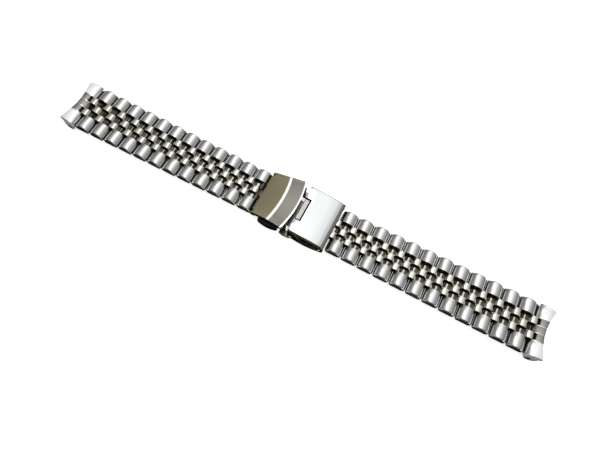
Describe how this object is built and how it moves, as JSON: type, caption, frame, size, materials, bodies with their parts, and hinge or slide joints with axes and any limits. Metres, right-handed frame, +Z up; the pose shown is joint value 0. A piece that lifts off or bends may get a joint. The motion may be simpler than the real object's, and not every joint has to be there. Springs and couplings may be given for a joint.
{
  "type": "watch bracelet",
  "caption": "Articulated metal watch bracelet with wide outer links, small domed centre links, curved end links and a folding clasp with a hinged safety flap, laid flat and closed.",
  "frame": {"origin": "centre of the footprint of the closed, flat bracelet, on the surface it lies on", "axes": "+X along the strap towards the cover's half, +Y across it, +Z up out of the visible face"},
  "size_m": [0.2006, 0.0214, 0.0092],
  "materials": {
    "brushed_links": "satin brushed along the length",
    "polished_links": "polished steel",
    "clasp_covers": "polished with a satin brushed field on the flap",
    "clasp_frame": "satin stamped steel",
    "pins": "turned steel"
  },
  "bodies": {
    "clasp_frame": {"end_piece": "clasp_frame", "inner_blade": "clasp_frame", "blade_rivets": "pins", "hinge_pins": "pins"},
    "flap": {"flap": "clasp_covers"},
    "outer_blade": {"outer_blade": "clasp_frame"},
    "cover": {"cover": "clasp_covers", "cover_catch": "clasp_frame", "cover_bars": "pins"},
    "left_outer_row_01": {"left_outer_row_01": "brushed_links"},
    "left_inner_row_01": {"left_inner_row_01": "polished_links"},
    "left_outer_row_02": {"left_outer_row_02": "brushed_links"},
    "left_inner_row_02": {"left_inner_row_02": "polished_links"},
    "left_outer_row_03": {"left_outer_row_03": "brushed_links"},
    "left_inner_row_03": {"left_inner_row_03": "polished_links"},
    "left_outer_row_04": {"left_outer_row_04": "brushed_links"},
    "left_inner_row_04": {"left_inner_row_04": "polished_links"},
    "left_outer_row_05": {"left_outer_row_05": "brushed_links"},
    "left_inner_row_05": {"left_inner_row_05": "polished_links"},
    "left_outer_row_06": {"left_outer_row_06": "brushed_links"},
    "left_inner_row_06": {"left_inner_row_06": "polished_links"},
    "left_outer_row_07": {"left_outer_row_07": "brushed_links"},
    "left_inner_row_07": {"left_inner_row_07": "polished_links"},
    "left_outer_row_08": {"left_outer_row_08": "brushed_links"},
    "left_inner_row_08": {"left_inner_row_08": "polished_links"},
    "left_outer_row_09": {"left_outer_row_09": "brushed_links"},
    "left_inner_row_09": {"left_inner_row_09": "polished_links"},
    "left_outer_row_10": {"left_outer_row_10": "brushed_links"},
    "left_inner_row_10": {"left_inner_row_10": "polished_links"},
    "left_outer_row_11": {"left_outer_row_11": "brushed_links"},
    "left_inner_row_11": {"left_inner_row_11": "polished_links"},
    "left_outer_row_12": {"left_outer_row_12": "brushed_links"},
    "left_inner_row_12": {"left_inner_row_12": "polished_links"},
    "left_end_link": {"left_end_link": "brushed_links"},
    "right_inner_row_00": {"right_inner_row_00": "polished_links"},
    "right_outer_row_01": {"right_outer_row_01": "brushed_links"},
    "right_inner_row_01": {"right_inner_row_01": "polished_links"},
    "right_outer_row_02": {"right_outer_row_02": "brushed_links"},
    "right_inner_row_02": {"right_inner_row_02": "polished_links"},
    "right_outer_row_03": {"right_outer_row_03": "brushed_links"},
    "right_inner_row_03": {"right_inner_row_03": "polished_links"},
    "right_outer_row_04": {"right_outer_row_04": "brushed_links"},
    "right_inner_row_04": {"right_inner_row_04": "polished_links"},
    "right_outer_row_05": {"right_outer_row_05": "brushed_links"},
    "right_inner_row_05": {"right_inner_row_05": "polished_links"},
    "right_outer_row_06": {"right_outer_row_06": "brushed_links"},
    "right_inner_row_06": {"right_inner_row_06": "polished_links"},
    "right_outer_row_07": {"right_outer_row_07": "brushed_links"},
    "right_inner_row_07": {"right_inner_row_07": "polished_links"},
    "right_outer_row_08": {"right_outer_row_08": "brushed_links"},
    "right_inner_row_08": {"right_inner_row_08": "polished_links"},
    "right_outer_row_09": {"right_outer_row_09": "brushed_links"},
    "right_inner_row_09": {"right_inner_row_09": "polished_links"},
    "right_outer_row_10": {"right_outer_row_10": "brushed_links"},
    "right_inner_row_10": {"right_inner_row_10": "polished_links"},
    "right_outer_row_11": {"right_outer_row_11": "brushed_links"},
    "right_inner_row_11": {"right_inner_row_11": "polished_links"},
    "right_outer_row_12": {"right_outer_row_12": "brushed_links"},
    "right_inner_row_12": {"right_inner_row_12": "polished_links"},
    "right_end_link": {"right_end_link": "brushed_links"}
  },
  "joints": [
    {"name": "flap_hinge", "type": "hinge", "parent": "clasp_frame", "child": "flap", "pos_m": [-0.0142, 0, 0.00555], "axis": [0, -1, 0], "range_deg": [0, 100]},
    {"name": "fold_hinge", "type": "hinge", "parent": "clasp_frame", "child": "outer_blade", "pos_m": [0.0126, 0, 0.001], "axis": [0, 1, 0], "range_deg": [0, 170]},
    {"name": "cover_hinge", "type": "hinge", "parent": "outer_blade", "child": "cover", "pos_m": [0.0019, 0, 0.0035], "axis": [0, -1, 0], "range_deg": [0, 170]},
    {"name": "left_pin_01", "type": "hinge", "parent": "clasp_frame", "child": "left_outer_row_01", "pos_m": [-0.017, 0, 0.0042], "axis": [0, -1, 0], "range_deg": [-5, 10]},
    {"name": "left_pin_02", "type": "hinge", "parent": "left_outer_row_01", "child": "left_inner_row_01", "pos_m": [-0.02025, 0, 0.0042], "axis": [0, -1, 0], "range_deg": [-5, 10]},
    {"name": "left_pin_03", "type": "hinge", "parent": "left_inner_row_01", "child": "left_outer_row_02", "pos_m": [-0.0235, 0, 0.0042], "axis": [0, -1, 0], "range_deg": [-5, 10]},
    {"name": "left_pin_04", "type": "hinge", "parent": "left_outer_row_02", "child": "left_inner_row_02", "pos_m": [-0.02675, 0, 0.0042], "axis": [0, -1, 0], "range_deg": [-5, 10]},
    {"name": "left_pin_05", "type": "hinge", "parent": "left_inner_row_02", "child": "left_outer_row_03", "pos_m": [-0.03, 0, 0.0042], "axis": [0, -1, 0], "range_deg": [-5, 10]},
    {"name": "left_pin_06", "type": "hinge", "parent": "left_outer_row_03", "child": "left_inner_row_03", "pos_m": [-0.03325, 0, 0.0042], "axis": [0, -1, 0], "range_deg": [-5, 10]},
    {"name": "left_pin_07", "type": "hinge", "parent": "left_inner_row_03", "child": "left_outer_row_04", "pos_m": [-0.0365, 0, 0.0042], "axis": [0, -1, 0], "range_deg": [-5, 10]},
    {"name": "left_pin_08", "type": "hinge", "parent": "left_outer_row_04", "child": "left_inner_row_04", "pos_m": [-0.03975, 0, 0.0042], "axis": [0, -1, 0], "range_deg": [-5, 10]},
    {"name": "left_pin_09", "type": "hinge", "parent": "left_inner_row_04", "child": "left_outer_row_05", "pos_m": [-0.043, 0, 0.0042], "axis": [0, -1, 0], "range_deg": [-5, 10]},
    {"name": "left_pin_10", "type": "hinge", "parent": "left_outer_row_05", "child": "left_inner_row_05", "pos_m": [-0.04625, 0, 0.0042], "axis": [0, -1, 0], "range_deg": [-5, 10]},
    {"name": "left_pin_11", "type": "hinge", "parent": "left_inner_row_05", "child": "left_outer_row_06", "pos_m": [-0.0495, 0, 0.0042], "axis": [0, -1, 0], "range_deg": [-5, 10]},
    {"name": "left_pin_12", "type": "hinge", "parent": "left_outer_row_06", "child": "left_inner_row_06", "pos_m": [-0.05275, 0, 0.0042], "axis": [0, -1, 0], "range_deg": [-5, 10]},
    {"name": "left_pin_13", "type": "hinge", "parent": "left_inner_row_06", "child": "left_outer_row_07", "pos_m": [-0.056, 0, 0.0042], "axis": [0, -1, 0], "range_deg": [-5, 10]},
    {"name": "left_pin_14", "type": "hinge", "parent": "left_outer_row_07", "child": "left_inner_row_07", "pos_m": [-0.05925, 0, 0.0042], "axis": [0, -1, 0], "range_deg": [-5, 10]},
    {"name": "left_pin_15", "type": "hinge", "parent": "left_inner_row_07", "child": "left_outer_row_08", "pos_m": [-0.0625, 0, 0.0042], "axis": [0, -1, 0], "range_deg": [-5, 10]},
    {"name": "left_pin_16", "type": "hinge", "parent": "left_outer_row_08", "child": "left_inner_row_08", "pos_m": [-0.06575, 0, 0.0042], "axis": [0, -1, 0], "range_deg": [-5, 10]},
    {"name": "left_pin_17", "type": "hinge", "parent": "left_inner_row_08", "child": "left_outer_row_09", "pos_m": [-0.069, 0, 0.0042], "axis": [0, -1, 0], "range_deg": [-5, 10]},
    {"name": "left_pin_18", "type": "hinge", "parent": "left_outer_row_09", "child": "left_inner_row_09", "pos_m": [-0.07225, 0, 0.0042], "axis": [0, -1, 0], "range_deg": [-5, 10]},
    {"name": "left_pin_19", "type": "hinge", "parent": "left_inner_row_09", "child": "left_outer_row_10", "pos_m": [-0.0755, 0, 0.0042], "axis": [0, -1, 0], "range_deg": [-5, 10]},
    {"name": "left_pin_20", "type": "hinge", "parent": "left_outer_row_10", "child": "left_inner_row_10", "pos_m": [-0.07875, 0, 0.0042], "axis": [0, -1, 0], "range_deg": [-5, 10]},
    {"name": "left_pin_21", "type": "hinge", "parent": "left_inner_row_10", "child": "left_outer_row_11", "pos_m": [-0.082, 0, 0.0042], "axis": [0, -1, 0], "range_deg": [-5, 10]},
    {"name": "left_pin_22", "type": "hinge", "parent": "left_outer_row_11", "child": "left_inner_row_11", "pos_m": [-0.08525, 0, 0.0042], "axis": [0, -1, 0], "range_deg": [-5, 10]},
    {"name": "left_pin_23", "type": "hinge", "parent": "left_inner_row_11", "child": "left_outer_row_12", "pos_m": [-0.0885, 0, 0.0042], "axis": [0, -1, 0], "range_deg": [-5, 10]},
    {"name": "left_pin_24", "type": "hinge", "parent": "left_outer_row_12", "child": "left_inner_row_12", "pos_m": [-0.09175, 0, 0.0042], "axis": [0, -1, 0], "range_deg": [-5, 10]},
    {"name": "left_pin_25", "type": "hinge", "parent": "left_inner_row_12", "child": "left_end_link", "pos_m": [-0.095, 0, 0.0042], "axis": [0, -1, 0], "range_deg": [-5, 10]},
    {"name": "right_pin_01", "type": "hinge", "parent": "cover", "child": "right_inner_row_00", "pos_m": [0.01375, 0, 0.0042], "axis": [0, 1, 0], "range_deg": [-5, 10]},
    {"name": "right_pin_02", "type": "hinge", "parent": "right_inner_row_00", "child": "right_outer_row_01", "pos_m": [0.017, 0, 0.0042], "axis": [0, 1, 0], "range_deg": [-5, 10]},
    {"name": "right_pin_03", "type": "hinge", "parent": "right_outer_row_01", "child": "right_inner_row_01", "pos_m": [0.02025, 0, 0.0042], "axis": [0, 1, 0], "range_deg": [-5, 10]},
    {"name": "right_pin_04", "type": "hinge", "parent": "right_inner_row_01", "child": "right_outer_row_02", "pos_m": [0.0235, 0, 0.0042], "axis": [0, 1, 0], "range_deg": [-5, 10]},
    {"name": "right_pin_05", "type": "hinge", "parent": "right_outer_row_02", "child": "right_inner_row_02", "pos_m": [0.02675, 0, 0.0042], "axis": [0, 1, 0], "range_deg": [-5, 10]},
    {"name": "right_pin_06", "type": "hinge", "parent": "right_inner_row_02", "child": "right_outer_row_03", "pos_m": [0.03, 0, 0.0042], "axis": [0, 1, 0], "range_deg": [-5, 10]},
    {"name": "right_pin_07", "type": "hinge", "parent": "right_outer_row_03", "child": "right_inner_row_03", "pos_m": [0.03325, 0, 0.0042], "axis": [0, 1, 0], "range_deg": [-5, 10]},
    {"name": "right_pin_08", "type": "hinge", "parent": "right_inner_row_03", "child": "right_outer_row_04", "pos_m": [0.0365, 0, 0.0042], "axis": [0, 1, 0], "range_deg": [-5, 10]},
    {"name": "right_pin_09", "type": "hinge", "parent": "right_outer_row_04", "child": "right_inner_row_04", "pos_m": [0.03975, 0, 0.0042], "axis": [0, 1, 0], "range_deg": [-5, 10]},
    {"name": "right_pin_10", "type": "hinge", "parent": "right_inner_row_04", "child": "right_outer_row_05", "pos_m": [0.043, 0, 0.0042], "axis": [0, 1, 0], "range_deg": [-5, 10]},
    {"name": "right_pin_11", "type": "hinge", "parent": "right_outer_row_05", "child": "right_inner_row_05", "pos_m": [0.04625, 0, 0.0042], "axis": [0, 1, 0], "range_deg": [-5, 10]},
    {"name": "right_pin_12", "type": "hinge", "parent": "right_inner_row_05", "child": "right_outer_row_06", "pos_m": [0.0495, 0, 0.0042], "axis": [0, 1, 0], "range_deg": [-5, 10]},
    {"name": "right_pin_13", "type": "hinge", "parent": "right_outer_row_06", "child": "right_inner_row_06", "pos_m": [0.05275, 0, 0.0042], "axis": [0, 1, 0], "range_deg": [-5, 10]},
    {"name": "right_pin_14", "type": "hinge", "parent": "right_inner_row_06", "child": "right_outer_row_07", "pos_m": [0.056, 0, 0.0042], "axis": [0, 1, 0], "range_deg": [-5, 10]},
    {"name": "right_pin_15", "type": "hinge", "parent": "right_outer_row_07", "child": "right_inner_row_07", "pos_m": [0.05925, 0, 0.0042], "axis": [0, 1, 0], "range_deg": [-5, 10]},
    {"name": "right_pin_16", "type": "hinge", "parent": "right_inner_row_07", "child": "right_outer_row_08", "pos_m": [0.0625, 0, 0.0042], "axis": [0, 1, 0], "range_deg": [-5, 10]},
    {"name": "right_pin_17", "type": "hinge", "parent": "right_outer_row_08", "child": "right_inner_row_08", "pos_m": [0.06575, 0, 0.0042], "axis": [0, 1, 0], "range_deg": [-5, 10]},
    {"name": "right_pin_18", "type": "hinge", "parent": "right_inner_row_08", "child": "right_outer_row_09", "pos_m": [0.069, 0, 0.0042], "axis": [0, 1, 0], "range_deg": [-5, 10]},
    {"name": "right_pin_19", "type": "hinge", "parent": "right_outer_row_09", "child": "right_inner_row_09", "pos_m": [0.07225, 0, 0.0042], "axis": [0, 1, 0], "range_deg": [-5, 10]},
    {"name": "right_pin_20", "type": "hinge", "parent": "right_inner_row_09", "child": "right_outer_row_10", "pos_m": [0.0755, 0, 0.0042], "axis": [0, 1, 0], "range_deg": [-5, 10]},
    {"name": "right_pin_21", "type": "hinge", "parent": "right_outer_row_10", "child": "right_inner_row_10", "pos_m": [0.07875, 0, 0.0042], "axis": [0, 1, 0], "range_deg": [-5, 10]},
    {"name": "right_pin_22", "type": "hinge", "parent": "right_inner_row_10", "child": "right_outer_row_11", "pos_m": [0.082, 0, 0.0042], "axis": [0, 1, 0], "range_deg": [-5, 10]},
    {"name": "right_pin_23", "type": "hinge", "parent": "right_outer_row_11", "child": "right_inner_row_11", "pos_m": [0.08525, 0, 0.0042], "axis": [0, 1, 0], "range_deg": [-5, 10]},
    {"name": "right_pin_24", "type": "hinge", "parent": "right_inner_row_11", "child": "right_outer_row_12", "pos_m": [0.0885, 0, 0.0042], "axis": [0, 1, 0], "range_deg": [-5, 10]},
    {"name": "right_pin_25", "type": "hinge", "parent": "right_outer_row_12", "child": "right_inner_row_12", "pos_m": [0.09175, 0, 0.0042], "axis": [0, 1, 0], "range_deg": [-5, 10]},
    {"name": "right_pin_26", "type": "hinge", "parent": "right_inner_row_12", "child": "right_end_link", "pos_m": [0.095, 0, 0.0042], "axis": [0, 1, 0], "range_deg": [-5, 10]}
  ],
  "couplings": [
    {"joint": "cover_hinge", "follows": "fold_hinge", "ratio": 1}
  ]
}
